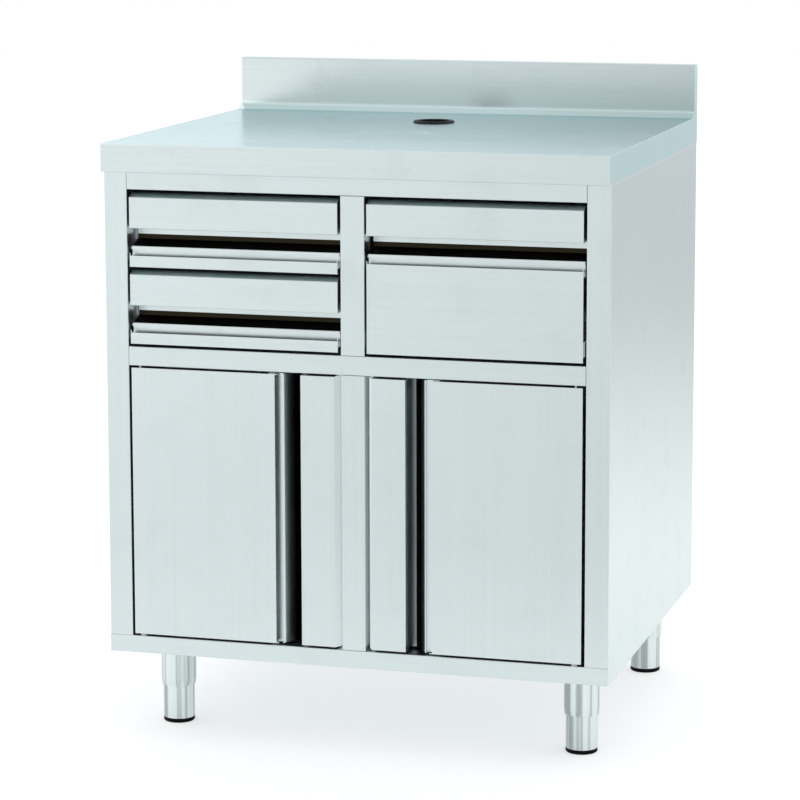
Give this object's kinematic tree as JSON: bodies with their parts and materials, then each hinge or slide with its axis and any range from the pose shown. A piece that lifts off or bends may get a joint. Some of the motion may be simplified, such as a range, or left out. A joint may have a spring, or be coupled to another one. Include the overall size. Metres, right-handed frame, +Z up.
{
  "type": "waiter service station",
  "caption": "Stainless steel waiter service station with worktop, upstand, cable hole, drawers over a two-door cupboard, and adjustable round legs.",
  "frame": {"origin": "on the floor under the middle of the worktop's outline, feet screwed in", "axes": "+Z up, the front with drawers and doors faces -Y, +X to the right seen from the front"},
  "size_m": [0.8, 0.7, 1.033],
  "materials": {
    "worktop_steel": "ground satin stainless steel",
    "panel_steel": "ground satin stainless steel",
    "front_steel": "ground satin stainless steel",
    "inner_steel": "mill finish stainless steel",
    "runner_steel": "bright zinc plated steel",
    "leg_steel": "satin stainless tube",
    "black_plastic": "moulded black plastic",
    "black_rubber": "moulded black rubber",
    "white_nylon": "turned natural nylon"
  },
  "bodies": {
    "cabinet": {"worktop": "worktop_steel", "worktop_stiffener_front": "inner_steel", "worktop_stiffener_rear": "inner_steel", "cable_grommet": "black_plastic", "side_panel_left": "panel_steel", "side_panel_right": "panel_steel", "back_panel": "inner_steel", "base_tray": "panel_steel", "base_stiffener": "inner_steel", "top_rail": "panel_steel", "middle_rail": "panel_steel", "upper_mullion": "panel_steel", "lower_mullion": "panel_steel", "centre_partition": "inner_steel", "runner_panel_left": "inner_steel", "runner_panel_right": "inner_steel", "shelf": "inner_steel", "shelf_bearers": "inner_steel", "pivot_washers": "white_nylon", "magnetic_catches": "black_plastic", "drawer_1_runner_outer": "runner_steel", "drawer_2_runner_outer": "runner_steel", "drawer_3_runner_outer": "runner_steel", "leg_front_left": "leg_steel", "leg_front_right": "leg_steel", "leg_rear_left": "leg_steel", "leg_rear_right": "leg_steel"},
    "drawer_1": {"drawer_1_front": "front_steel", "drawer_1_box": "inner_steel", "drawer_1_runner_inner": "runner_steel"},
    "drawer_2": {"drawer_2_front": "front_steel", "drawer_2_box": "inner_steel", "drawer_2_runner_inner": "runner_steel"},
    "drawer_3": {"drawer_3_front": "front_steel", "drawer_3_box": "inner_steel", "drawer_3_runner_inner": "runner_steel"},
    "drawer_1_runner": {"drawer_1_runner_middle": "runner_steel"},
    "drawer_2_runner": {"drawer_2_runner_middle": "runner_steel"},
    "drawer_3_runner": {"drawer_3_runner_middle": "runner_steel"},
    "door_left": {"door_left_skin": "front_steel", "door_left_inner_sheet": "inner_steel", "door_left_pivots": "runner_steel", "door_left_strike": "runner_steel"},
    "door_right": {"door_right_skin": "front_steel", "door_right_inner_sheet": "inner_steel", "door_right_pivots": "runner_steel", "door_right_strike": "runner_steel"},
    "foot_front_left": {"leg_front_left_foot": "leg_steel", "leg_front_left_pad": "black_rubber"},
    "foot_front_right": {"leg_front_right_foot": "leg_steel", "leg_front_right_pad": "black_rubber"},
    "foot_rear_left": {"leg_rear_left_foot": "leg_steel", "leg_rear_left_pad": "black_rubber"},
    "foot_rear_right": {"leg_rear_right_foot": "leg_steel", "leg_rear_right_pad": "black_rubber"}
  },
  "joints": [
    {"name": "drawer_1_slide", "type": "slide", "parent": "cabinet", "child": "drawer_1", "axis": [0, -1, 0], "range_m": [0, 0.4]},
    {"name": "drawer_1_runner_slide", "type": "slide", "parent": "cabinet", "child": "drawer_1_runner", "axis": [0, -1, 0], "range_m": [0, 0.2]},
    {"name": "drawer_2_slide", "type": "slide", "parent": "cabinet", "child": "drawer_2", "axis": [0, -1, 0], "range_m": [0, 0.4]},
    {"name": "drawer_2_runner_slide", "type": "slide", "parent": "cabinet", "child": "drawer_2_runner", "axis": [0, -1, 0], "range_m": [0, 0.2]},
    {"name": "drawer_3_slide", "type": "slide", "parent": "cabinet", "child": "drawer_3", "axis": [0, -1, 0], "range_m": [0, 0.4]},
    {"name": "drawer_3_runner_slide", "type": "slide", "parent": "cabinet", "child": "drawer_3_runner", "axis": [0, -1, 0], "range_m": [0, 0.2]},
    {"name": "door_left_hinge", "type": "hinge", "parent": "cabinet", "child": "door_left", "pos_m": [-0.3465, -0.33, 0.38325], "axis": [0, 0, -1], "range_deg": [0, 105]},
    {"name": "door_right_hinge", "type": "hinge", "parent": "cabinet", "child": "door_right", "pos_m": [0.3465, -0.33, 0.38325], "axis": [0, 0, 1], "range_deg": [0, 105]},
    {"name": "foot_front_left_height", "type": "slide", "parent": "cabinet", "child": "foot_front_left", "axis": [0, 0, -1], "range_m": [0, 0.04]},
    {"name": "foot_front_right_height", "type": "slide", "parent": "cabinet", "child": "foot_front_right", "axis": [0, 0, -1], "range_m": [0, 0.04]},
    {"name": "foot_rear_left_height", "type": "slide", "parent": "cabinet", "child": "foot_rear_left", "axis": [0, 0, -1], "range_m": [0, 0.04]},
    {"name": "foot_rear_right_height", "type": "slide", "parent": "cabinet", "child": "foot_rear_right", "axis": [0, 0, -1], "range_m": [0, 0.04]}
  ],
  "couplings": [
    {"joint": "drawer_1_runner_slide", "follows": "drawer_1_slide", "ratio": 0.5},
    {"joint": "drawer_2_runner_slide", "follows": "drawer_2_slide", "ratio": 0.5},
    {"joint": "drawer_3_runner_slide", "follows": "drawer_3_slide", "ratio": 0.5}
  ]
}
